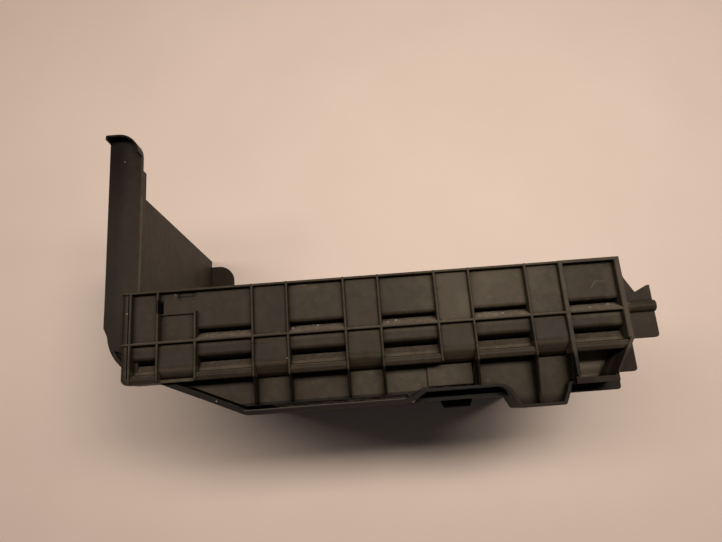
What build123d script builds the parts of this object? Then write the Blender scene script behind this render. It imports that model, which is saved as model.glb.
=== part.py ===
from build123d import *
import math
import os

os.makedirs("parts", exist_ok=True)

# Injection moulded housing, one piece: an open-backed duct whose front is a wall of
# louvred cells between ribs, with a hollow side column, an arm, a lug and an end bay.
# All sizes are in millimetres. While it is drawn, x runs along its length from the
# first rib, y runs up from the top edge of the ribbed front, and a depth is measured
# back from the front edges of the ribs. The rear edges stand on z = 0.

# Overall
full_depth = 163.0        # front edges of the ribs to the rear edges
skin = 2.2                # wall of the duct and of the flanges
rib = 1.8                 # walls that edge the front
fin_width = 1.4           # ribs
panel = 1.8               # walls of the cells
edge_round = 0.5          # rounding along the front edges of the ribs
small_corner = 1.0
soft_corner = 2.0
cross_back = 0.3          # level walls stand this far behind the upright ribs

# Rib pitch along x
first_rib = -0.6          # the first rib stands this far from the drawing's zero
end_cell = 15.9
entry_cell = 21.9
wide_cell = 33.5
narrow_cell = 20.5
cell_pairs = 4

# Heights below the top edge of the front
middle_rib = 31.0
front_foot = 53.8         # foot of the two ribbed rows
pocket_foot = 71.5        # foot of the recessed row
duct_foot = 75.1          # underside of the duct

# Depths
flange_back = 7.0         # front flange
wide_back = 4.0           # panels of the wide cells
narrow_back = 2.8         # panels of the narrow cells
entry_back = 5.6          # sunk panel of the entry cell
pocket_back = 14.0        # panel of the recessed row
bay_back = 28.0           # back of the end bay
lug_back = 32.0           # back of the lug

# Louvres of the wide cells
slot_gap = 1.7
upper_lip = 0.8           # height over which an upper panel curls inward
lower_lip = 1.8           # the same, lower row
lip_drop = 5.2            # how far they curl
lip_radius = 1.2
upper_slot = 24.7         # slot below the top edge, upper row
lower_slot = 41.6         # the same, lower row
bar_top = 48.4            # rounded bar along the foot of the lower row
bar_back = 0.9
ledge_back = 6.4          # front end of the lower ledge, behind the bar

# Narrow cells of the lower row
bulge_foot = 46.6         # where the panel turns inward
bulge_back = 1.6
bulge_drop = 8.5
bulge_radius = 4.0

# Ribs in the recessed row
tail_foot = 69.3
tail_front = 2.6          # depth at which a tail starts
tail_back = 7.2           # depth at which it ends

# Left end of the front
overhang = 5.8            # front beyond the first rib
overhang_back = 1.2
overhang_round = 2.4
corner_round = 3.5
groove_width = 0.8        # groove between the rounded end and the first rib
groove_deep = 2.5

# Duct and side column
column_width = 20.9       # front flange and arm
duct_inset = 2.3          # duct wall inside the left edge of the flange
column_face = 1.8         # right face of the column, from the first rib
side_radius = 28.0        # big lower left corner
bevel_end = 65.0          # where the bevel meets the underside
bevel_angle = 23.0
duct_corner = 8.0
wall_near = 63.8          # end wall above the top edge, at the front
wall_far = 59.2           # the same at the rear
foot_reach = 20.2         # rear flange turned in from the end wall
foot_drop = 1.5           # its top below the end wall's
foot_radius = 13.0

# Arm
step_top = 82.3           # short step in front of the end wall
step_back = 13.9
arm_top = 104.2
arm_corner = 13.0
arm_back = 22.0
rim_forward = 7.0         # rim standing forward along the top of the arm
rim_thick = 1.1
rim_tip = 3.0             # height of the rim at its left end
arm_lean = 0.7            # the arm leans left by this much at its top

# Front flange
rim = 2.9                 # its width below the recessed row
rim_slot = 2.1            # air slot between the recessed panel and the rim
bevel_slot = 1.2          # the same along the bevel
strip_bend = 18.9         # where the left edge turns in
strip_turn = 26.9
strip_foot = 35.0
strip_inset = 3.5
notch_start = 168.3
notch_run = 8.3
notch_foot = 69.7
notch_back = 17.0
notch_edge = 0.6          # underside thinned towards the notch
notch_taper = 12.0        # over this depth
lug_start = 214.2
lug_left = 220.9
lug_right = 247.0
lug_foot = 82.5
lug_bend = 8.0
lug_shoulder = 250.4
lug_wall = 1.2            # right wall of the lug

# Latch tongue in the recessed row, and its hook in the notch
tongue_left = 170.5
tongue_width = 26.3
tongue_top = 54.8
tongue_foot = 66.6
tongue_proud = 1.6
tongue_gap = 1.3
hook_left = 178.2
hook_width = 21.8
hook_back = 34.0
hook_reach = 4.5
hook_lead = 3.0
hook_thick = 6.0

# End bay on the right, with its window in the recessed row
bay_slope_top = 48.5
bay_slope_foot = 66.9
bay_slope_run = 11.2
sill_height = 3.2
sill_back = 2.6

# Stepped flange outside the end bay, reaching out from the last rib
last_rib = 3.0            # width of the last rib, most of it outside the bay
low_step = -1.6           # plate below the bay
low_step_foot = 76.2
low_step_back = 20.0
mid_step = 3.7
mid_step_foot = 66.8
high_step = 20.4
high_step_foot = 48.3
spike_top = 17.2
spike_width = 1.3
valley_run = 11.0
valley_height = 21.0
web_run = 6.1
web_height = 12.0
web_bend = 4.0
end_bar_run = 20.6
end_bar_top = 26.4
end_bar_foot = 33.2

# Entry cell
entry_step = 13.5         # foot of the flush upper part
mark_width = 9.4          # plain sunk rectangle by the top edge
mark_height = 4.4
mark_deep = 0.6
vent_width = 1.5
vent_height = 6.4


def at_depth(face, near, far):
    """Extrude an upright (x, y) face between two depths."""
    return extrude(Pos(0, 0, full_depth - far) * face, amount=far - near)


def across(section, start, end):
    """Extrude a (y, -depth) section along x."""
    plane = Plane(origin=(start, 0, full_depth), x_dir=(0, 1, 0), z_dir=(1, 0, 0))
    return extrude(plane * section, amount=end - start)


def outline(corners):
    """A closed face from corners (x, y, radius)."""
    points = [corner[:2] for corner in corners]
    radii = [corner[2] for corner in corners]
    return make_face(FilletPolyline(*points, radius=radii, close=True))


def block(x_from, x_to, y_from, y_to):
    """A rectangle given by its edges."""
    centre = Pos((x_from + x_to) / 2, (y_from + y_to) / 2)
    return centre * Rectangle(x_to - x_from, y_to - y_from)


def wall(points, radius=0):
    """Section of a cell wall along a path, its corners rounded if a radius is given."""
    path = FilletPolyline(*points, radius=radius) if radius else Polyline(*points)
    return trace(path, panel)


# Places that follow from the sizes
ribs_x = [first_rib, first_rib + end_cell, first_rib + end_cell + entry_cell]
for pair in range(cell_pairs):
    ribs_x.append(ribs_x[-1] + wide_cell)
    ribs_x.append(ribs_x[-1] + narrow_cell)
bay_left = ribs_x[-1]
bay_right = bay_left + wide_cell
ribs_x.append(bay_right)
bay_edge = bay_right - rib / 2 + last_rib
duct_right = bay_left + rib / 2
front_left = -overhang
column_left = column_face - column_width
duct_left = column_left + duct_inset
bevel_slope = math.tan(math.radians(bevel_angle))
bevel_start = duct_foot - (bevel_end - duct_left) * bevel_slope
bevel_meet = duct_foot - bevel_end * bevel_slope
fin_back = pocket_back + panel
low_edge = bay_right + low_step
mid_edge = bay_right + mid_step
high_edge = bay_right + high_step


# Duct: a skin round an L-shaped outline, open at the back
duct_outline = outline(
    [
        (duct_left, wall_near, 0),
        (duct_left, -bevel_start, side_radius),
        (bevel_end, -duct_foot, duct_corner),
        (duct_right, -duct_foot, 2 * skin),
        (duct_right, 0, 0),
        (column_face, 0, 0),
        (column_face, wall_near, 0),
    ]
)
duct_inside = offset(duct_outline, -skin)
duct = at_depth(duct_outline - duct_inside, flange_back, full_depth)

# The top of the side column falls towards the rear
fall = Polygon(
    (wall_far, -full_depth),
    (wall_near, -step_back),
    (wall_near, 0),
    (wall_near + skin, 0),
    (wall_near + skin, -full_depth),
    align=None,
)
roof = Polygon(
    (wall_far, -full_depth),
    (wall_near, -step_back),
    (wall_near - skin, -step_back),
    (wall_far - skin, -full_depth),
    align=None,
)
duct += across(roof, duct_left, column_face)
duct -= across(fall, duct_left, column_face)

# Shoulder behind the lower left corner of the front flange
shoulder = duct_outline & block(duct_left, 0, -duct_foot, -strip_bend)
duct += at_depth(shoulder, flange_back + skin, flange_back + 2 * skin)

# Rear flange turned in from the end wall, with a rounded upper corner
foot_outline = outline(
    [
        (column_face - skin, wall_far - foot_drop, 0),
        (column_face + foot_reach, wall_far - foot_drop, foot_radius),
        (column_face + foot_reach, -skin, 0),
        (column_face - skin, -skin, 0),
    ]
)
duct += at_depth(foot_outline, full_depth - skin, full_depth)

# Arm: the front flange carried up, with a skin round its left side and top
arm_outline = outline(
    [
        (column_left, 0, 0),
        (column_left - arm_lean, arm_top, small_corner),
        (column_face - arm_lean, arm_top, arm_corner),
        (column_face, 0, 0),
    ]
)
arm = at_depth(arm_outline, flange_back, arm_back)
arm -= at_depth(offset(arm_outline, -skin), flange_back + skin, arm_back)
arm -= at_depth(block(column_left + skin, column_face, step_top, arm_top - skin), flange_back + skin, arm_back)
arm -= at_depth(block(column_left + skin, column_face, wall_near, step_top), step_back, arm_back)
arm -= at_depth(block(column_left - skin, column_face, 0, wall_near - skin), flange_back + skin, arm_back)

# Rim standing forward along the top of the arm, running out round its corner
rim_outline = arm_outline - offset(arm_outline, -rim_thick)
rim_outline &= block(column_left - skin, column_face, arm_top - arm_corner, arm_top)
rim_outline -= block(column_left - skin, column_left + skin, 0, arm_top - rim_tip)
arm_rim = at_depth(rim_outline, flange_back - rim_forward, flange_back)
run_out = Polygon(
    (column_face - arm_corner - rim_thick, 0),
    (column_face, 0),
    (column_face, -rim_forward),
    (column_face - arm_lean - 2 * rim_thick, -rim_forward),
    align=None,
)
run_out_plane = Plane(origin=(0, arm_top, full_depth), x_dir=(1, 0, 0), z_dir=(0, -1, 0))
arm_rim -= extrude(run_out_plane * run_out, amount=arm_corner)

# Front flange: one outline from the column round the bevel, notch, lug and steps
front_outline = outline(
    [
        (column_left, 0, 0),
        (column_left, -strip_bend, small_corner),
        (column_left + strip_inset, -strip_turn, soft_corner),
        (column_left + 2 * strip_inset, -strip_foot + skin, soft_corner),
        (-overhang, -strip_foot, 0),
        (0, -strip_foot, 0),
        (0, -bevel_meet, 0),
        (bevel_end, -duct_foot, duct_corner),
        (notch_start - notch_run, -duct_foot, small_corner),
        (notch_start, -notch_foot, 0),
        (lug_start, -notch_foot, lug_bend),
        (lug_left, -lug_foot, small_corner),
        (lug_right, -lug_foot, soft_corner),
        (lug_shoulder, -duct_foot, small_corner),
        (lug_shoulder + lug_wall, -pocket_foot, small_corner),
        (bay_right - bay_slope_run, -pocket_foot, soft_corner),
        (bay_right - bay_slope_run, -mid_step_foot, 0),
        (mid_edge, -mid_step_foot, soft_corner),
        (mid_edge, -high_step_foot, 0),
        (high_edge, -high_step_foot, soft_corner),
        (high_edge, -spike_top, 0),
        (high_edge - spike_width, -spike_top, 0),
        (bay_right + valley_run, -valley_height, small_corner),
        (bay_right + web_run, -web_height, web_bend),
        (bay_edge, 0, 0),
    ]
)

# Recess below the ribbed rows, inside the flange's rim
below_front = block(0, duct_right, -lug_foot, -front_foot)
main_recess = offset(front_outline, -rim) & block(0, notch_start, -lug_foot, -front_foot)
lug_recess = offset(front_outline, -lug_wall) & block(notch_start, duct_right, rib - lug_foot, -front_foot)
lug_recess &= Pos(rib - lug_wall, rib - lug_wall) * offset(front_outline, -lug_wall)
recess = main_recess + lug_recess
window_outline = outline(
    [
        (bay_left, 0, 0),
        (bay_edge, 0, 0),
        (bay_edge, -bay_slope_top, soft_corner),
        (bay_edge - bay_slope_run, -bay_slope_foot, soft_corner),
        (bay_edge - bay_slope_run, -pocket_foot, small_corner),
        (bay_left, -pocket_foot, 0),
    ]
)
bay_inside = offset(window_outline, -rib)

flange = at_depth(front_outline, flange_back, flange_back + skin)
flange -= at_depth(recess, flange_back, flange_back + skin)
flange -= at_depth(bay_inside, flange_back, flange_back + skin)
front_window = block(rib, bay_left, -front_foot, -rib)
flange -= at_depth(front_window, flange_back, flange_back + skin)

# Sides of the recess and the panel at its back, cut away for the notch
inside_rim = offset(front_outline, -rib / 3)
recess_walls = (offset(recess, skin) - recess) & below_front & inside_rim
recess_floor = offset(recess, skin) & below_front & inside_rim
pocket = at_depth(recess_walls, flange_back, fin_back) + at_depth(recess_floor, pocket_back, fin_back)
notch = block(notch_start - notch_run, duct_right, -lug_foot, -pocket_foot) - front_outline
duct -= at_depth(notch, 0, notch_back)
duct -= at_depth(recess, flange_back, pocket_back)
taper = Polygon(
    (notch_edge - duct_foot, -notch_back),
    (skin - duct_foot, -notch_back),
    (skin - duct_foot, -notch_back - notch_taper),
    align=None,
)
duct -= across(taper, notch_start - notch_run, lug_left)
notch_wall = block(notch_start - notch_run - skin, notch_start - notch_run, -duct_foot, -pocket_foot)
pocket += at_depth(notch_wall, flange_back, notch_back + skin)
bevel = math.radians(bevel_angle)
slot_shift = (rim_slot * math.cos(bevel) - bevel_slot) / math.sin(bevel)
rim_gap = main_recess - Pos(-slot_shift, rim_slot) * main_recess
rim_gap &= block(duct_left, notch_start - notch_run - skin, -duct_foot, -front_foot - rim)
pocket -= at_depth(rim_gap, pocket_back, fin_back)

# Lug: a deep wall round its edge
lug_edge = front_outline - offset(front_outline, -rib)
lug_edge &= block(notch_start, duct_right, -lug_foot, -notch_foot + rib)
lug = at_depth(lug_edge, flange_back, lug_back)

# End bay: a box behind its window, closed at the back
bay = at_depth(window_outline - bay_inside, 0, bay_back)
bay += at_depth(window_outline, bay_back - panel, bay_back)
bay -= at_depth(block(bay_left, bay_edge, -pocket_foot, -bay_slope_foot), 0, sill_back)
sill = block(bay_left, bay_edge - bay_slope_run, -pocket_foot, -pocket_foot + sill_height)
bay += at_depth(sill, sill_back, sill_back + rib)
low_plate = outline(
    [
        (lug_shoulder, -pocket_foot + rib, 0),
        (lug_shoulder, -low_step_foot, 0),
        (low_edge, -low_step_foot, soft_corner),
        (low_edge, -mid_step_foot, 0),
        (bay_edge - bay_slope_run, -mid_step_foot, 0),
        (bay_edge - bay_slope_run, -pocket_foot + rib, 0),
    ]
)
bay += at_depth(low_plate - bay_inside, low_step_back, low_step_back + skin)


# Cells
wide_face = wide_back + panel / 2
narrow_face = narrow_back + panel / 2
entry_face = entry_back + panel / 2
bar_radius = (front_foot - bar_top) / 2
bar_centre = (front_foot + bar_top) / 2


def louvre(top, slot, lip):
    """A panel that curls inward to a slot."""
    lip_end = slot - slot_gap / 2
    path = [(-top, -wide_face), (lip - lip_end, -wide_face), (-lip_end, -wide_face - lip_drop)]
    return wall(path, lip_radius)


def upper_wide():
    """Louvre and ramp of the upper row."""
    ramp_start = upper_slot + slot_gap / 2 + panel / 2
    ramp = wall([(-ramp_start, -wide_face - lip_drop), (-middle_rib, -rib / 2)])
    return louvre(rib / 2, upper_slot, upper_lip) + ramp


def lower_wide():
    """Louvre, ledge and rounded bar of the lower row."""
    ledge_start = lower_slot + slot_gap / 2 + panel / 2
    ledge = wall(
        [(-ledge_start, -wide_face - lip_drop), (-bar_top, -ledge_back - panel / 2), (-bar_centre, -ledge_back)]
    )
    bar = Pos(-bar_centre, -bar_back - bar_radius) * Circle(bar_radius)
    return louvre(middle_rib, lower_slot, lower_lip) + ledge + bar + foot_web(bar_back + bar_radius)


def upper_narrow():
    """Plain panel of the upper row."""
    return wall([(0, -narrow_face), (-middle_rib, -narrow_face)])


def lower_narrow():
    """Panel that swells out, then turns in towards the foot."""
    bulge_face = bulge_back + panel / 2
    path = [
        (-middle_rib, -narrow_face - panel / 2),
        (-middle_rib - rib - panel, -narrow_face),
        (-bulge_foot, -bulge_face),
        (panel / 2 - front_foot, -bulge_face - bulge_drop),
    ]
    return wall(path, bulge_radius) + foot_web(bulge_face + bulge_drop)


def foot_web(front):
    """Wall from the foot of a cell back to the panel of the recess."""
    return wall([(panel / 2 - front_foot, -front), (panel / 2 - front_foot, -fin_back)])


def entry():
    """Upper part flush with the next cell, lower part sunk."""
    path = [(0, -wide_face), (-entry_step, -wide_face), (-entry_step, -entry_face), (-middle_rib, -entry_face)]
    return wall(path)


upper_plain = wall([(0, -wide_face), (-middle_rib, -wide_face)])
upper_rows = [upper_plain, entry()] + [upper_wide(), upper_narrow()] * cell_pairs + [upper_wide()]
lower_rows = [lower_wide(), lower_narrow()] * (cell_pairs + 1) + [lower_wide()]
cells = Part()
for start, end, upper, lower in zip(ribs_x, ribs_x[1:], upper_rows, lower_rows):
    cells += across(upper, start, end)
    cells += across(lower, start, end)


def fin(top, foot, tail, width):
    """Upright rib with rounded front edges; its tail slopes back into the recess."""
    corners = [(-top, 0, 0), (-foot, 0, small_corner)]
    if tail > foot:
        corners += [(-foot - tail_front, -tail_front, small_corner), (-tail, -tail_back, small_corner)]
    corners += [(-max(foot, tail), -fin_back, 0), (-top, -fin_back, 0)]
    body = extrude(Plane.YZ * outline(corners), amount=width / 2, both=True)
    front_edges = [e for e in body.edges() if e.center().Z > -tail_back and abs(e.center().X) > width / 4]
    front_edges = [e for e in front_edges if abs(e.tangent_at(0.5).X) < 0.1 and e.center().Y < -top]
    return Pos(0, 0, full_depth) * chamfer(front_edges, edge_round)


# Ribs: the first ones end with the front, the others run on into the recess
tails = {0: 0, 1: 0, 2: 0, 7: 0, 9: lug_foot - rib}
fins = Part()
for number, x in enumerate(ribs_x):
    top = entry_step if number == 2 else 0
    if x == bay_right:
        fins += Pos(bay_edge - last_rib / 2, 0, 0) * fin(top, bay_slope_top, 0, last_rib)
    else:
        fins += Pos(x, 0, 0) * fin(top, front_foot, tails.get(number, tail_foot), fin_width)


def level_wall(top, back):
    """Section of a level wall with its front edges rounded."""
    foot = -top - fin_width
    return outline(
        [(-top, -cross_back, edge_round), (-top, -back, 0), (foot, -back, 0), (foot, -cross_back, edge_round)]
    )


top_wall = across(level_wall(0, bay_back), front_left, bay_edge)
middle = across(level_wall(middle_rib - fin_width / 2, wide_back + panel), front_left, bay_right)

# Left end of the front: a rounded shell down to the flange
end_outline = outline(
    [(front_left, 0, 0), (front_left, -front_foot, corner_round), (first_rib, -front_foot, 0), (first_rib, 0, 0)]
)
end_shell = at_depth(end_outline, overhang_back, flange_back + skin)
end_edges = [e for e in end_shell.edges().group_by(Axis.Z)[-1] if e.center().X < first_rib - rib / 2]
end_edges = [e for e in end_edges if e.center().Y < -rib]
end_shell = fillet(end_edges, overhang_round)
end_shell -= at_depth(offset(end_outline, -panel), overhang_back + groove_deep + panel, flange_back + skin)
groove_right = first_rib - fin_width / 2
groove = block(groove_right - groove_width, groove_right, -front_foot + 2 * rib, -rib)
end_shell -= at_depth(groove, 0, overhang_back + groove_deep)
foot_wall = across(foot_web(bar_radius + bar_back), first_rib, ribs_x[2])

# Latch tongue, freed by a slot at its foot and its right side, and the hook below
# the notch with the wall that closes the duct behind it
tongue_right = tongue_left + tongue_width
tongue = block(tongue_left, tongue_right, -tongue_foot, -tongue_top)
slots = block(tongue_left, tongue_right + tongue_gap, -tongue_foot - tongue_gap, -tongue_foot)
slots += block(tongue_right, tongue_right + tongue_gap, -tongue_foot, -tongue_top)
pocket += at_depth(tongue, pocket_back - tongue_proud, pocket_back)
pocket -= at_depth(slots, flange_back, fin_back)
hook_outline = Polygon(
    (hook_left, skin - duct_foot),
    (hook_left + hook_lead, -duct_foot - hook_reach),
    (hook_left + hook_width - hook_lead, -duct_foot - hook_reach),
    (hook_left + hook_width, skin - duct_foot),
    align=None,
)
hook = at_depth(hook_outline, hook_back, hook_back + hook_thick)
hook_wall = block(notch_start - notch_run, lug_left, -duct_foot, rib - notch_foot)
hook += at_depth(hook_wall, hook_back, hook_back + rib)

# Rounded bar beside the last rib, standing forward of the stepped flange
end_bar_radius = (end_bar_foot - end_bar_top) / 2
end_bar_section = Pos(-end_bar_top - end_bar_radius, -flange_back) * Circle(end_bar_radius)
end_bar_section &= Pos(-end_bar_top - end_bar_radius, -flange_back + end_bar_radius) * Rectangle(
    2 * end_bar_radius, 2 * end_bar_radius
)
end_bar = across(end_bar_section, bay_right, bay_right + end_bar_run)
end_bar += at_depth(
    block(bay_right, bay_right + end_bar_run, -end_bar_foot, -end_bar_top), flange_back, flange_back + skin
)

# Entry cell: vent by the second rib and a plain sunk rectangle
vent_left = ribs_x[1] + fin_width / 2
vent = block(vent_left, vent_left + vent_width, -entry_step, vent_height - entry_step)
cells -= at_depth(vent, 0, entry_face)
mark_left = ribs_x[2] - fin_width / 2 - mark_width
mark = block(mark_left, mark_left + mark_width, -rib - mark_height, -rib)
cells -= at_depth(mark, 0, wide_back + mark_deep)

grid = fins + middle + top_wall
front = grid + cells + foot_wall + end_shell
housing = duct + arm + arm_rim + flange + pocket + lug + bay
housing = housing + front + hook + end_bar

# Stand the finished housing with its origin under the middle of its outline
extent = housing.bounding_box()
housing = Pos(-extent.center().X, -extent.center().Y, -extent.min.Z) * housing
print("housing:", len(housing.solids()), "solid,", round(housing.volume / 1000, 1), "cm3")
export_step(housing, "parts/housing.step")
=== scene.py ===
import bpy
from mathutils import Matrix, Vector

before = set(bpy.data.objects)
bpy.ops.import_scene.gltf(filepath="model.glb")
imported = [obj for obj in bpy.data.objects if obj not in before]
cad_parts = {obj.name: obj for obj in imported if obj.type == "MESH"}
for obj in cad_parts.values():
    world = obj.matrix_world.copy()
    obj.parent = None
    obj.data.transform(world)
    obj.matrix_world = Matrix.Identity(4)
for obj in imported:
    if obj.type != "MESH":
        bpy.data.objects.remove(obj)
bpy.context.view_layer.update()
print("frame loaded")

scene = bpy.context.scene
scene.view_settings.view_transform = "Standard"


# small helpers for node trees

def feed(tree, socket, value):
    # links another node's output, or sets a plain number, vector or colour
    if isinstance(value, bpy.types.NodeSocket):
        tree.links.new(value, socket)
    elif socket.type == "RGBA":
        socket.default_value = (*value, 1)
    else:
        socket.default_value = value


def addNode(tree, kind, inputs=None, **settings):
    node = tree.nodes.new("ShaderNode" + kind)
    for key, value in settings.items():
        setattr(node, key, value)
    for key, value in (inputs or {}).items():
        feed(tree, node.inputs[key], value)
    return node


def calc(tree, operation, *values, clamp=False):
    inputs = dict(enumerate(values))
    return addNode(tree, "Math", inputs, operation=operation, use_clamp=clamp).outputs[0]


def vectorCalc(tree, operation, *values):
    return addNode(tree, "VectorMath", dict(enumerate(values)), operation=operation)


def scaleVector(tree, vector, amount):
    return addNode(tree, "VectorMath", {0: vector, "Scale": amount}, operation="SCALE").outputs[0]


def ramp(tree, value, low, high, toLow=0.0, toHigh=1.0):
    inputs = {"Value": value, "From Min": low, "From Max": high, "To Min": toLow, "To Max": toHigh}
    return addNode(tree, "MapRange", inputs, interpolation_type="SMOOTHSTEP").outputs["Result"]


def mixColour(tree, amount, first, second, blend="MIX"):
    inputs = {0: amount, 6: first, 7: second}    # the colour sockets of the Mix node
    return addNode(tree, "Mix", inputs, data_type="RGBA", blend_type=blend).outputs[2]


def newGroup(name, inputs, outputs):
    tree = bpy.data.node_groups.new(name, "ShaderNodeTree")
    for label, value in inputs.items():
        kind = "NodeSocketVector" if isinstance(value, tuple) else "NodeSocketFloat"
        socket = tree.interface.new_socket(name=label, in_out="INPUT", socket_type=kind)
        socket.default_value = value
    for label, kind in outputs.items():
        tree.interface.new_socket(name=label, in_out="OUTPUT", socket_type="NodeSocket" + kind)
    return tree, tree.nodes.new("NodeGroupInput").outputs, tree.nodes.new("NodeGroupOutput").inputs


def useGroup(tree, group, **inputs):
    return addNode(tree, "Group", inputs, node_tree=group).outputs


def newMaterial(name):
    material = bpy.data.materials.new(name)
    material.use_nodes = True
    tree = material.node_tree
    tree.nodes.clear()
    shader = addNode(tree, "BsdfPrincipled")
    addNode(tree, "OutputMaterial", {"Surface": shader.outputs["BSDF"]})
    return material, tree, shader


# shared effects, with sizes in metres

origin = (0.0, 0.0, 0.0)


def makeGrain():
    tree, given, out = newGroup("grain", {"Position": origin, "Size": 0.001}, {"Height": "Float"})
    scale = calc(tree, "DIVIDE", 1.0, given["Size"])
    inputs = {"Vector": given["Position"], "Scale": scale, "Detail": 3.0}
    feed(tree, out["Height"], addNode(tree, "TexNoise", inputs).outputs["Fac"])
    return tree


def makeDrift():
    # slow changes of tone, as on handled plastic or paper
    middle = 0.5    # the noise lies about this
    inputs = {"Position": origin, "Size": 0.03, "Contrast": 0.2}
    tree, given, out = newGroup("drift", inputs, {"Value": "Float"})
    scale = calc(tree, "DIVIDE", 1.0, given["Size"])
    inputs = {"Vector": given["Position"], "Scale": scale, "Detail": 4.0, "Roughness": 0.55}
    noise = addNode(tree, "TexNoise", inputs).outputs["Fac"]
    low = calc(tree, "SUBTRACT", middle, given["Contrast"])
    high = calc(tree, "ADD", middle, given["Contrast"])
    feed(tree, out["Value"], ramp(tree, noise, low, high))
    return tree


def makeEdges():
    # rounds sharp edges and tells where they are
    outputs = {"Mask": "Float", "Normal": "Vector"}
    tree, given, out = newGroup("edges", {"Radius": 0.0004, "Gain": 4.0}, outputs)
    rounded = addNode(tree, "Bevel", {"Radius": given["Radius"]}, samples=6).outputs["Normal"]
    flat = addNode(tree, "NewGeometry").outputs["Normal"]
    match = vectorCalc(tree, "DOT_PRODUCT", rounded, flat).outputs["Value"]
    bend = calc(tree, "SUBTRACT", 1.0, match)
    feed(tree, out["Mask"], calc(tree, "MULTIPLY", bend, given["Gain"], clamp=True))
    feed(tree, out["Normal"], rounded)
    return tree


def makeCorners():
    # 1 in the open, 0 deep in a corner
    tree, given, out = newGroup("corners", {"Reach": 0.004}, {"Open": "Float"})
    inputs = {"Distance": given["Reach"]}
    near = addNode(tree, "AmbientOcclusion", inputs, samples=8, only_local=True)
    feed(tree, out["Open"], near.outputs["AO"])
    return tree


dustShape = {
    "leanBelow": 0.2,              # the layer begins this far under the lean
    "leanAbove": 0.25,             # and is full this far over it
    "patchRange": (0.3, 0.68),     # noise, from thin patches to thick ones
    "thinPatch": 0.55,
    "cellsPerClump": 2.2,
    "speckRange": (0.22, 0.1),     # from the rim of a speck to its middle
    "speckChance": (0.66, 0.68),   # only cells over this hold a speck
}


def makeDust():
    # dust lies on faces that look up when the part is in use, along +Y; laid on thick, the same
    # layer also serves as painted light
    inputs = {"Position": origin, "Clump": 0.004, "Lean": 0.5}
    tree, given, out = newGroup("dustAndPaintedLight", inputs, {"Layer": "Float", "Specks": "Float"})
    normal = addNode(tree, "NewGeometry").outputs["Normal"]
    facing = addNode(tree, "SeparateXYZ", {0: normal}).outputs["Y"]
    begin = calc(tree, "SUBTRACT", given["Lean"], dustShape["leanBelow"])
    full = calc(tree, "ADD", given["Lean"], dustShape["leanAbove"])
    upward = ramp(tree, facing, begin, full)

    scale = calc(tree, "DIVIDE", 1.0, given["Clump"])
    inputs = {"Vector": given["Position"], "Scale": scale, "Detail": 5.0, "Roughness": 0.6}
    patches = addNode(tree, "TexNoise", inputs).outputs["Fac"]
    thick = ramp(tree, patches, *dustShape["patchRange"], dustShape["thinPatch"], 1.0)
    feed(tree, out["Layer"], calc(tree, "MULTIPLY", upward, thick))

    scale = calc(tree, "MULTIPLY", scale, dustShape["cellsPerClump"])
    cells = addNode(tree, "TexVoronoi", {"Vector": given["Position"], "Scale": scale}).outputs
    chance = addNode(tree, "SeparateColor", {0: cells["Color"]}).outputs["Red"]
    speck = ramp(tree, cells["Distance"], *dustShape["speckRange"])
    speck = calc(tree, "MULTIPLY", speck, ramp(tree, chance, *dustShape["speckChance"]))
    feed(tree, out["Specks"], calc(tree, "MULTIPLY", speck, upward))
    return tree


def makeFleck():
    # one small round spot
    solid = 0.4    # share of its size before it fades
    inputs = {"Position": origin, "Centre": origin, "Size": 0.0005}
    tree, given, out = newGroup("fleck", inputs, {"Mask": "Float"})
    away = vectorCalc(tree, "DISTANCE", given["Position"], given["Centre"]).outputs["Value"]
    middle = calc(tree, "MULTIPLY", given["Size"], solid)
    feed(tree, out["Mask"], ramp(tree, away, given["Size"], middle))
    return tree


def makeLineMark():
    # one straight line with round ends
    solid = 0.3    # share of its width before it fades
    inputs = {"Position": origin, "Start": origin, "End": (0.0, 0.01, 0.0), "Width": 0.0004}
    tree, given, out = newGroup("lineMark", inputs, {"Mask": "Float"})
    fromStart = vectorCalc(tree, "SUBTRACT", given["Position"], given["Start"]).outputs[0]
    line = vectorCalc(tree, "SUBTRACT", given["End"], given["Start"]).outputs[0]
    along = vectorCalc(tree, "DOT_PRODUCT", fromStart, line).outputs["Value"]
    length = vectorCalc(tree, "DOT_PRODUCT", line, line).outputs["Value"]
    nearest = scaleVector(tree, line, calc(tree, "DIVIDE", along, length, clamp=True))
    away = vectorCalc(tree, "DISTANCE", fromStart, nearest).outputs["Value"]
    middle = calc(tree, "MULTIPLY", given["Width"], solid)
    feed(tree, out["Mask"], ramp(tree, away, given["Width"], middle))
    return tree


def makeZone():
    # soft-edged box, to keep an effect to one part of the housing
    box = {"Centre": origin, "Reach": (0.01, 0.01, 0.01), "Fade": (0.003, 0.003, 0.003)}
    tree, given, out = newGroup("zone", {"Position": origin, **box}, {"Mask": "Float"})
    offset = vectorCalc(tree, "SUBTRACT", given["Position"], given["Centre"]).outputs[0]
    offset = vectorCalc(tree, "ABSOLUTE", offset).outputs[0]
    beyond = vectorCalc(tree, "SUBTRACT", offset, given["Reach"]).outputs[0]
    beyond = vectorCalc(tree, "MAXIMUM", beyond, origin).outputs[0]
    faded = vectorCalc(tree, "DIVIDE", beyond, given["Fade"]).outputs[0]
    away = vectorCalc(tree, "LENGTH", faded).outputs["Value"]
    feed(tree, out["Mask"], ramp(tree, away, 1.0, 0.0))
    return tree


nickShape = {
    "wander": 0.0012,              # how far the cells are pushed out of line
    "squeeze": (0.7, 2.6, 1.0),    # makes them long in X and short in Y
    "nickRange": (0.26, 0.08),     # from the rim of a nick to its middle
    "nickChance": (0.72, 0.95),    # only cells over this hold a nick, brighter as it rises
}


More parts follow.
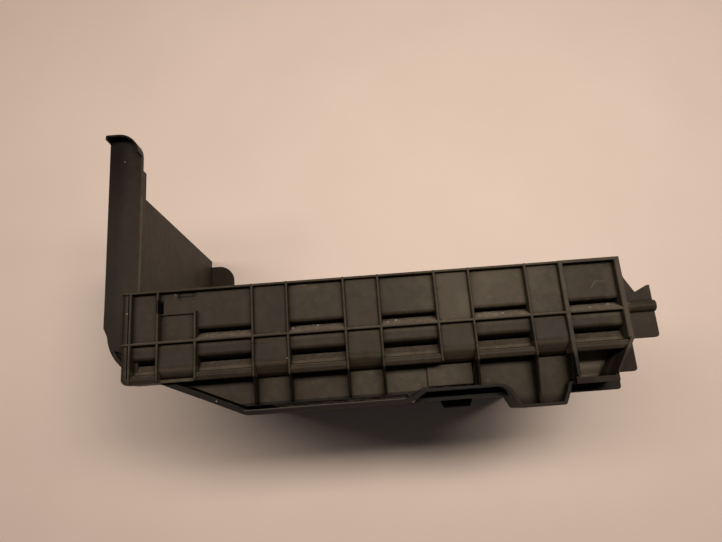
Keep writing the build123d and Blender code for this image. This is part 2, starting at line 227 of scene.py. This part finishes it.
def makeScuffs():
    # short light nicks from handling, lying mostly along X
    tree, given, out = newGroup("scuffs", {"Position": origin, "Size": 0.004}, {"Mask": "Float"})
    scale = calc(tree, "DIVIDE", 1.0, given["Size"])
    bend = addNode(tree, "TexNoise", {"Vector": given["Position"], "Scale": scale}).outputs["Color"]
    bend = scaleVector(tree, bend, nickShape["wander"])
    place = vectorCalc(tree, "MULTIPLY", given["Position"], nickShape["squeeze"]).outputs[0]
    place = vectorCalc(tree, "ADD", place, bend).outputs[0]
    cells = addNode(tree, "TexVoronoi", {"Vector": place, "Scale": scale}).outputs
    chance = addNode(tree, "SeparateColor", {0: cells["Color"]}).outputs["Red"]
    nick = ramp(tree, cells["Distance"], *nickShape["nickRange"])
    nick = calc(tree, "MULTIPLY", nick, ramp(tree, chance, *nickShape["nickChance"]))
    feed(tree, out["Mask"], nick)
    return tree


grain = makeGrain()
drift = makeDrift()
edges = makeEdges()
corners = makeCorners()
dustAndPaintedLight = makeDust()
fleck = makeFleck()
lineMark = makeLineMark()
zone = makeZone()
scuffs = makeScuffs()
print("effects made")


# moulded housing: its finish, then the places where the finish, the painted light and the painted
# shade change
plastic = {
    "dark": (0.0040, 0.0022, 0.0016),
    "warm": (0.0150, 0.0098, 0.0065),
    "tone": {"Size": 0.022, "Contrast": 0.16},      # from dark to warm
    "toneShare": 0.35,                              # how far that goes

    "filmAndPaintedLight": (0.054, 0.0405, 0.0300),                # thin dust from handling, also used as painted light
    "greyFilmAndPaintedLight": (0.048, 0.0405, 0.0275),
    "filmAndPaintedLightHue": {"Size": 0.012, "Contrast": 0.2},    # from the film colour to the grey one
    "broad": {"Size": 0.025, "Contrast": 0.2},      # how thick the film and the painted light lie
    "broadLevels": (0.8, 1.12),
    "mottle": {"Size": 0.005, "Contrast": 0.25},
    "mottleLevels": (0.78, 1.14),
    "nickSize": 0.004,
    "nickAmount": 0.9,

    "wornAndHighlight": (0.085, 0.070, 0.055),                  # on edges, nicks and scratches; on edges and some lines also a painted highlight
    "edge": {"Radius": 0.00045, "Gain": 5.0},
    "rubAndHighlight": {"Size": 0.006, "Contrast": 0.25},       # how worn the edges are, with painted highlight along them
    "rubAndHighlightLevels": (0.15, 0.5),

    # pale dust, also used as painted light
    "dustAndPaintedLight": (0.20, 0.165, 0.130),
    "dustLay": {"Clump": 0.0035, "Lean": 0.45},
    "dustAmount": 0.08,
    "speck": (0.42, 0.38, 0.33),

    "shadowRange": (0.1, 0.4),                      # dust layer that marks an upward face
    # painted shade along the outline of a sunk rectangle
    "sunkOutlineShadeAmount": 0.9,
    "wideReach": 0.006,                             # painted shade in corners, judged from afar
    "wideShade": (0.1, 0.6, 0.5, 1.0),              # openness from and to, light at each
    "closeReach": 0.0018,                           # and close in
    "closeShade": (0.4, 0.85, 0.35, 1.0),

    "roughness": (0.43, 0.51),                      # where dark and where warm
    "dustRoughness": 0.35,                          # added by a full layer
    "cornerRoughness": (0.9, 0.3, 0.0, 0.25),       # openness from and to, added at each
    "specular": 0.10,
    "grainSize": 0.0006,
    "grainHeight": 0.00002,
    "speckHeight": 4.0,                             # in grain heights

    # boxes: centre, reach, fade and amount
    # thin film of handling dust, and painted light: it lightens the panels towards a painted sheen,
    # the bulge bends and undersides, the recessed lower row, the end tabs, the side wall and the
    # rib fronts
    "filmAndPaintedLightZones": [
        # upper row, lightest near the middle where the sheen peaks: painted light
        ((0.000, -0.025, 0.1615), (0.146, 0.019, 0.0042), (0.004, 0.002, 0.0007), 0.32),
        ((0.045, -0.025, 0.1615), (0.090, 0.019, 0.0042), (0.012, 0.002, 0.0007), 0.20),
        ((0.064, -0.023, 0.1615), (0.016, 0.017, 0.0042), (0.044, 0.003, 0.0007), 0.62),
        # middle row, and the bars under it
        ((0.000, -0.054, 0.1610), (0.146, 0.009, 0.0036), (0.004, 0.003, 0.0010), 0.24),
        ((0.045, -0.055, 0.1610), (0.095, 0.009, 0.0036), (0.012, 0.005, 0.0010), 0.12),
        # painted highlight along the bend of the bulges
        ((0.000, -0.0573, 0.1610), (0.146, 0.0004, 0.0020), (0.004, 0.0014, 0.0010), 0.30),
        # painted light on the shaded undersides of the bulges
        ((0.000, -0.061, 0.1580), (0.146, 0.0033, 0.003), (0.004, 0.001, 0.0010), 0.75),
        # lower row, lightened: painted light
        ((0.010, -0.073, 0.1490), (0.125, 0.012, 0.0020), (0.006, 0.005, 0.0010), 0.50),
        ((0.010, -0.073, 0.1490), (0.022, 0.012, 0.0020), (0.020, 0.005, 0.0010), 0.40),
        # end tabs
        ((0.152, -0.040, 0.1560), (0.014, 0.022, 0.0100), (0.003, 0.003, 0.0020), 0.30),
        # side wall and arm, lightened: painted light
        ((-0.142, 0.020, 0.0800), (0.001, 0.080, 0.0750), (0.0005, 0.010, 0.002), 0.85),
        ((-0.133, 0.040, 0.0000), (0.030, 0.060, 0.0300), (0.010, 0.010, 0.010), 0.20),
        ((-0.144, 0.030, 0.1560), (0.006, 0.050, 0.0010), (0.008, 0.030, 0.001), 0.22),
        # rib fronts
        ((0.000, -0.035, 0.1640), (0.150, 0.030, 0.0012), (0.004, 0.004, 0.0004), 0.30),
    ],
    # painted shade: the warm tone is taken out on the arm's top, the bevel rim, the rib tails, the
    # lip behind the notch and the lower rim
    "paintedShadeZones": [
        # top of the arm
        ((-0.155, 0.095, 0.1580), (0.020, 0.010, 0.0060), (0.010, 0.075, 0.0020), 0.90),
        # rim along the bevel
        ((-0.100, -0.075, 0.1560), (0.025, 0.012, 0.0008), (0.020, 0.006, 0.0008), 1.00),
        # rib tails
        ((0.005, -0.075, 0.1580), (0.112, 0.009, 0.0050), (0.004, 0.002, 0.0010), 0.80),
        # lip behind the notch
        ((0.047, -0.085, 0.1390), (0.028, 0.004, 0.0080), (0.002, 0.001, 0.0010), 1.00),
        # lower rim
        ((-0.030, -0.085, 0.1560), (0.055, 0.005, 0.0010), (0.010, 0.001, 0.0010), 0.75),
    ],
    # dust on the ramps and ledges, laid on thick as painted light too
    "dustAndPaintedLightZones": [
        # ramps
        ((0.000, -0.038, 0.1580), (0.146, 0.0055, 0.0060), (0.003, 0.001, 0.002), 0.56),
        ((0.0645, -0.0385, 0.1575), (0.0055, 0.003, 0.0040), (0.0008, 0.001, 0.001), 0.35),
        # ledges
        ((0.000, -0.0565, 0.1545), (0.146, 0.0035, 0.0022), (0.003, 0.001, 0.001), 0.24),
    ],
    # painted light on the end bay's floor, and paler patches on the panels
    "paleAndPaintedLightZones": [
        # floor of the end bay, lightened against its cast shadow: painted light
        ((0.132, -0.065, 0.1365), (0.012, 0.004, 0.0020), (0.003, 0.006, 0.0010), 0.95),
        ((0.132, -0.073, 0.1365), (0.012, 0.014, 0.0020), (0.003, 0.003, 0.0010), 0.18),
        # paler patches on the panels
        ((0.0520, -0.031, 0.1590), (0.002, 0.003, 0.0010), (0.006, 0.007, 0.0008), 0.13),
        ((0.0650, -0.023, 0.1590), (0.001, 0.005, 0.0010), (0.005, 0.008, 0.0008), 0.08),
        ((0.0700, -0.017, 0.1590), (0.004, 0.001, 0.0010), (0.007, 0.004, 0.0008), 0.07),
        ((-0.0420, -0.015, 0.1590), (0.006, 0.001, 0.0010), (0.004, 0.003, 0.0008), 0.05),
    ],
    # painted shade in the slot above the rim and in the vent
    "paintedGapShadeZones": [
        # slot above the rim
        ((-0.030, -0.0812, 0.1525), (0.050, 0.0018, 0.0045), (0.010, 0.0004, 0.0008), 0.75),
        # vent
        ((-0.1274, -0.0205, 0.1605), (0.0014, 0.0038, 0.0040), (0.0004, 0.0006, 0.001), 0.85),
    ],
    "shadowZones": [
        # ledges, where they meet the bars
        ((0.000, -0.0592, 0.1589), (0.146, 0.0007, 0.0018), (0.002, 0.0003, 0.0004), 0.8),
    ],

    # lines: start, end and width
    # painted shade: the dark outline of a sunk rectangle
    "sunkOutlineShades": [
        ((-0.1173, -0.0150, 0.1588), (-0.1086, -0.0147, 0.1588), 0.0010),
        ((-0.1173, -0.0150, 0.1588), (-0.1169, -0.0122, 0.1592), 0.0008),
        ((-0.1086, -0.0147, 0.1588), (-0.1082, -0.0122, 0.1592), 0.0010),
        ((-0.1066, -0.0150, 0.1590), (-0.1062, -0.0122, 0.1592), 0.0004),
    ],
    # scratches, and painted highlights along the arm's right edge, the lower rim's top edge and the
    # end bay's floor edges
    "scratchesAndHighlights": [
        ((-0.14195, 0.07200, 0.1560), (-0.14195, -0.00600, 0.1560), 0.0004),
        ((0.01900, -0.05732, 0.1557), (0.01880, -0.06300, 0.1615), 0.0003),
        ((-0.08000, -0.08320, 0.1560), (0.01200, -0.08320, 0.1560), 0.0004),
        ((0.13820, -0.06400, 0.1370), (0.13220, -0.07730, 0.1370), 0.0006),
        ((0.12200, -0.07750, 0.1370), (0.13220, -0.07730, 0.1370), 0.0006),
        ((-0.04643, -0.01285, 0.1590), (-0.04106, -0.01327, 0.1590), 0.0005),
        ((0.12725, -0.02805, 0.1590), (0.13045, -0.02405, 0.1590), 0.00024),
        ((0.13045, -0.02405, 0.1590), (0.13575, -0.02445, 0.1590), 0.0002),
        ((0.01625, -0.08555, 0.1560), (0.02025, -0.08475, 0.1560), 0.0006),
        ((-0.12185, -0.00895, 0.1590), (-0.12055, -0.01145, 0.1590), 0.0006),
        ((-0.12055, -0.01145, 0.1590), (-0.11875, -0.01405, 0.1590), 0.0005),
    ],

    # spots: centre and size
    "flecks": [
        ((-0.15395, 0.07755, 0.1560), 0.0003),
        ((-0.15362, 0.09207, 0.1620), 0.0005),
        ((-0.14645, -0.02325, 0.1618), 0.0004),
        ((-0.09585, -0.07685, 0.1560), 0.0004),
        ((-0.05378, -0.05584, 0.1612), 0.0004),
        ((-0.05022, -0.03809, 0.1565), 0.0010),
        ((-0.03556, -0.03712, 0.1546), 0.0009),
        ((0.00585, -0.03909, 0.1585), 0.0009),
        ((0.01078, -0.03788, 0.1561), 0.0012),
        ((0.07376, -0.03880, 0.1580), 0.0010),
        ((0.12472, -0.03927, 0.1589), 0.0009),
        ((0.13685, -0.03785, 0.1560), 0.0011),
    ],
}


def makePlastic():
    material, tree, shader = newMaterial("blackPlastic")
    position = addNode(tree, "TexCoord").outputs["Object"]

    def vary(name):
        return useGroup(tree, drift, Position=position, **plastic[name])["Value"]

    def inZones(name):
        total = 0.0
        for centre, reach, fade, amount in plastic[name]:
            box = {"Centre": centre, "Reach": reach, "Fade": fade}
            inside = useGroup(tree, zone, Position=position, **box)["Mask"]
            total = calc(tree, "ADD", calc(tree, "MULTIPLY", inside, amount), total)
        return total

    def onLine(start, end, width):
        line = {"Start": start, "End": end, "Width": width}
        return useGroup(tree, lineMark, Position=position, **line)["Mask"]

    # bare plastic, darkest in the painted shade zones
    tone = calc(tree, "MULTIPLY", vary("tone"), plastic["toneShare"])
    tone = calc(tree, "ADD", tone, 1 - plastic["toneShare"])
    outsidePaintedShade = calc(tree, "SUBTRACT", 1.0, inZones("paintedShadeZones"), clamp=True)
    tone = calc(tree, "MULTIPLY", tone, outsidePaintedShade)
    colour = mixColour(tree, tone, plastic["dark"], plastic["warm"])

    # film and painted light, and nicks in it
    broad = ramp(tree, vary("broad"), 0.0, 1.0, *plastic["broadLevels"])
    mottle = ramp(tree, vary("mottle"), 0.0, 1.0, *plastic["mottleLevels"])
    filmAndPaintedLight = calc(tree, "MULTIPLY", inZones("filmAndPaintedLightZones"), broad)
    filmAndPaintedLight = calc(tree, "MULTIPLY", filmAndPaintedLight, mottle, clamp=True)
    filmAndPaintedLightColour = mixColour(tree, vary("filmAndPaintedLightHue"), plastic["filmAndPaintedLight"], plastic["greyFilmAndPaintedLight"])
    colour = mixColour(tree, filmAndPaintedLight, colour, filmAndPaintedLightColour)
    nicks = useGroup(tree, scuffs, Position=position, Size=plastic["nickSize"])["Mask"]
    nicks = calc(tree, "MULTIPLY", nicks, calc(tree, "MULTIPLY", filmAndPaintedLight, plastic["nickAmount"]))
    colour = mixColour(tree, nicks, colour, plastic["wornAndHighlight"])

    # rubbed edges, and painted highlight along them
    edge = useGroup(tree, edges, **plastic["edge"])
    rubAndHighlight = ramp(tree, vary("rubAndHighlight"), 0.0, 1.0, *plastic["rubAndHighlightLevels"])
    colour = mixColour(tree, calc(tree, "MULTIPLY", edge["Mask"], rubAndHighlight), colour, plastic["wornAndHighlight"])

    # settled dust, dust laid on thick as painted light on the ramps and ledges, and painted light
    # on the bay floor
    settled = useGroup(tree, dustAndPaintedLight, Position=position, **plastic["dustLay"])
    lying = calc(tree, "ADD", inZones("dustAndPaintedLightZones"), plastic["dustAmount"])
    paleAndPaintedLight = inZones("paleAndPaintedLightZones")
    layer = calc(tree, "MULTIPLY", settled["Layer"], lying)
    layer = calc(tree, "ADD", layer, paleAndPaintedLight, clamp=True)
    colour = mixColour(tree, layer, colour, plastic["dustAndPaintedLight"])

    # scratches and painted highlight lines
    scratchAndHighlightMask = 0.0
    for start, end, width in plastic["scratchesAndHighlights"]:
        scratchAndHighlightMask = calc(tree, "MAXIMUM", scratchAndHighlightMask, onLine(start, end, width))
    colour = mixColour(tree, scratchAndHighlightMask, colour, plastic["wornAndHighlight"])

    # painted shade: dark lines and dark corners
    upward = ramp(tree, settled["Layer"], *plastic["shadowRange"])
    dark = calc(tree, "MULTIPLY", inZones("shadowZones"), upward)
    dark = calc(tree, "ADD", inZones("paintedGapShadeZones"), dark)
    # painted shade along the sunk rectangle's outline
    for start, end, width in plastic["sunkOutlineShades"]:
        sunkOutlineShade = calc(tree, "MULTIPLY", onLine(start, end, width), plastic["sunkOutlineShadeAmount"])
        dark = calc(tree, "ADD", sunkOutlineShade, dark)
    wide = useGroup(tree, corners, Reach=plastic["wideReach"])["Open"]
    close = useGroup(tree, corners, Reach=plastic["closeReach"])["Open"]
    shade = ramp(tree, wide, *plastic["wideShade"])
    shade = calc(tree, "MULTIPLY", shade, ramp(tree, close, *plastic["closeShade"]))
    # painted light: the painted corner shade is lifted in the pale zones
    shade = calc(tree, "MAXIMUM", shade, paleAndPaintedLight)
    shade = calc(tree, "MULTIPLY", shade, calc(tree, "SUBTRACT", 1.0, dark, clamp=True))
    colour = mixColour(tree, 1.0, colour, shade, "MULTIPLY")

    specks = calc(tree, "MULTIPLY", settled["Specks"], lying, clamp=True)
    for centre, size in plastic["flecks"]:
        spot = useGroup(tree, fleck, Position=position, Centre=centre, Size=size)["Mask"]
        specks = calc(tree, "MAXIMUM", specks, spot)
    colour = mixColour(tree, specks, colour, plastic["speck"])
    feed(tree, shader.inputs["Base Color"], colour)

    # gloss
    matt = ramp(tree, tone, 0.0, 1.0, *plastic["roughness"])
    matt = calc(tree, "ADD", matt, calc(tree, "MULTIPLY", layer, plastic["dustRoughness"]))
    deep = ramp(tree, wide, *plastic["cornerRoughness"])
    feed(tree, shader.inputs["Roughness"], calc(tree, "ADD", matt, deep, clamp=True))
    feed(tree, shader.inputs["Specular IOR Level"], plastic["specular"])

    # grain and specks, over the rounded edges
    fine = useGroup(tree, grain, Position=position, Size=plastic["grainSize"])["Height"]
    height = calc(tree, "ADD", fine, calc(tree, "MULTIPLY", specks, plastic["speckHeight"]))
    inputs = {"Height": height, "Distance": plastic["grainHeight"], "Normal": edge["Normal"]}
    feed(tree, shader.inputs["Normal"], addNode(tree, "Bump", inputs).outputs["Normal"])
    return material


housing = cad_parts["housing"]
housing.data.materials.clear()
housing.data.materials.append(makePlastic())
print("housing finished")


floor = {
    "size": 3.0,
    "light": (0.72, 0.595, 0.545),
    "dark": (0.69, 0.565, 0.515),
    "tone": {"Size": 0.12, "Contrast": 0.3},    # from dark to light
    "roughness": 0.6,
    "grainSize": 0.0015,
    "grainHeight": 0.00003,
}


def addFloor():
    half = floor["size"] / 2
    mesh = bpy.data.meshes.new("floor")
    square = [(-half, -half, 0), (half, -half, 0), (half, half, 0), (-half, half, 0)]
    mesh.from_pydata(square, [], [(0, 1, 2, 3)])
    obj = bpy.data.objects.new("floor", mesh)
    scene.collection.objects.link(obj)

    material, tree, shader = newMaterial("floor")
    position = addNode(tree, "TexCoord").outputs["Object"]
    tone = useGroup(tree, drift, Position=position, **floor["tone"])["Value"]
    feed(tree, shader.inputs["Base Color"], mixColour(tree, tone, floor["dark"], floor["light"]))
    feed(tree, shader.inputs["Roughness"], floor["roughness"])
    fine = useGroup(tree, grain, Position=position, Size=floor["grainSize"])["Height"]
    bump = addNode(tree, "Bump", {"Height": fine, "Distance": floor["grainHeight"]})
    feed(tree, shader.inputs["Normal"], bump.outputs["Normal"])
    mesh.materials.append(material)


lamps = {
    "colour": (1.0, 0.90, 0.77),
    "depth": 0.15,
    "tube": {"position": (0.0, 0.14, 0.84), "width": 1.3, "power": 7.2},
    "key": {"position": (0.24, 0.13, 0.84), "width": 0.3, "power": 2.0},
}


def addLamp(name):
    lamp = lamps[name]
    data = bpy.data.lights.new(name, "AREA")
    data.shape = "RECTANGLE"
    data.size = lamp["width"]
    data.size_y = lamps["depth"]
    data.energy = lamp["power"]
    data.color = lamps["colour"]
    obj = bpy.data.objects.new(name, data)
    scene.collection.objects.link(obj)
    obj.location = lamp["position"]


sky = {"Color": (1.0, 0.95, 0.9), "Strength": 0.05}


def addSky():
    world = bpy.data.worlds.new("world")
    world.use_nodes = True
    for key, value in sky.items():
        feed(world.node_tree, world.node_tree.nodes["Background"].inputs[key], value)
    scene.world = world


camera = {
    "position": (-0.00926, -0.08724, 0.47071),
    "right": (0.99720, -0.07351, -0.01380),
    "up": (0.07463, 0.96578, 0.24841),
    "back": (-0.00493, -0.24874, 0.96856),
    "lens": 26.73,
    "sensor": 36.0,
}


def addCamera():
    data = bpy.data.cameras.new("camera")
    data.lens = camera["lens"]
    data.sensor_width = camera["sensor"]
    obj = bpy.data.objects.new("camera", data)
    scene.collection.objects.link(obj)
    turn = Matrix([Vector(camera[k]) for k in ("right", "up", "back")]).transposed()
    obj.matrix_world = Matrix.Translation(camera["position"]) @ turn.to_4x4()
    scene.camera = obj


addFloor()
addLamp("tube")
addLamp("key")
addSky()
addCamera()
print("stage set")
